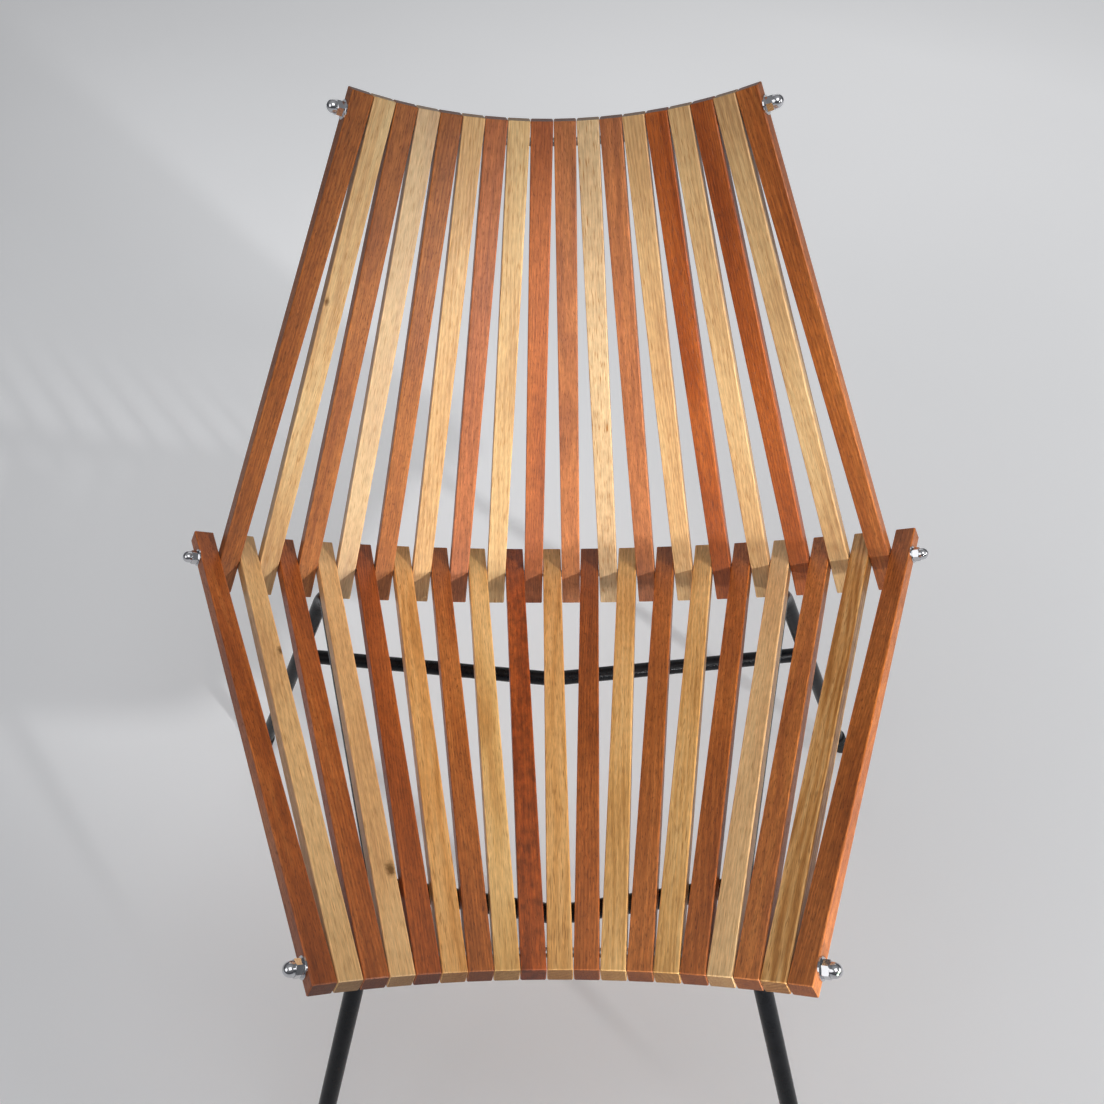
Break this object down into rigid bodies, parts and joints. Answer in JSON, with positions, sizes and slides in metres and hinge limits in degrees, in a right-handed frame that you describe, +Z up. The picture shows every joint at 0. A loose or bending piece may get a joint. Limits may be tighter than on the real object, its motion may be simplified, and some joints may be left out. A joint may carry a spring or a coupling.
{
  "type": "lounge chair",
  "caption": "Armless lounge chair with a scooped seat and back of fanned two-tone wooden slats threaded on curved rods, on a splayed black tube base.",
  "frame": {"origin": "centre of the bounding box, at floor level", "axes": "+Z up, the sitter faces -Y, +X to the viewer's right from the front"},
  "size_m": [0.8392, 0.734, 0.9041],
  "materials": {
    "dark_wood": "satin varnish on a red-brown open-grained wood",
    "light_wood": "satin varnish on a blond wood with brown streaks",
    "chrome": "polished",
    "plated_steel": "zinc plated",
    "black_steel": "satin black paint",
    "black_rubber": "matte"
  },
  "bodies": {
    "root": {"seat_slat_01": "dark_wood", "seat_slat_02": "light_wood", "seat_slat_03": "dark_wood", "seat_slat_04": "light_wood", "seat_slat_05": "dark_wood", "seat_slat_06": "light_wood", "seat_slat_07": "dark_wood", "seat_slat_08": "light_wood", "seat_slat_09": "dark_wood", "seat_slat_10": "light_wood", "seat_slat_11": "dark_wood", "seat_slat_12": "light_wood", "seat_slat_13": "dark_wood", "seat_slat_14": "light_wood", "seat_slat_15": "dark_wood", "seat_slat_16": "light_wood", "seat_slat_17": "dark_wood", "seat_slat_18": "light_wood", "seat_slat_19": "dark_wood", "back_slat_01": "dark_wood", "back_slat_02": "light_wood", "back_slat_03": "dark_wood", "back_slat_04": "light_wood", "back_slat_05": "dark_wood", "back_slat_06": "light_wood", "back_slat_07": "dark_wood", "back_slat_08": "light_wood", "back_slat_09": "dark_wood", "back_slat_10": "dark_wood", "back_slat_11": "light_wood", "back_slat_12": "dark_wood", "back_slat_13": "light_wood", "back_slat_14": "dark_wood", "back_slat_15": "light_wood", "back_slat_16": "dark_wood", "back_slat_17": "light_wood", "back_slat_18": "dark_wood", "front_rod": "plated_steel", "front_washers": "chrome", "front_cap_nuts": "chrome", "junction_rod": "plated_steel", "junction_washers": "chrome", "junction_cap_nuts": "chrome", "top_rod": "plated_steel", "top_washers": "chrome", "top_cap_nuts": "chrome", "side_frame_left": "black_steel", "side_frame_right": "black_steel", "front_crossbar": "black_steel", "rear_crossbar": "black_steel", "foot_cap_front_left": "black_rubber", "foot_cap_front_right": "black_rubber", "foot_cap_rear_left": "black_rubber", "foot_cap_rear_right": "black_rubber", "rail_screws_left": "plated_steel", "rail_screws_right": "plated_steel"}
  },
  "joints": []
}
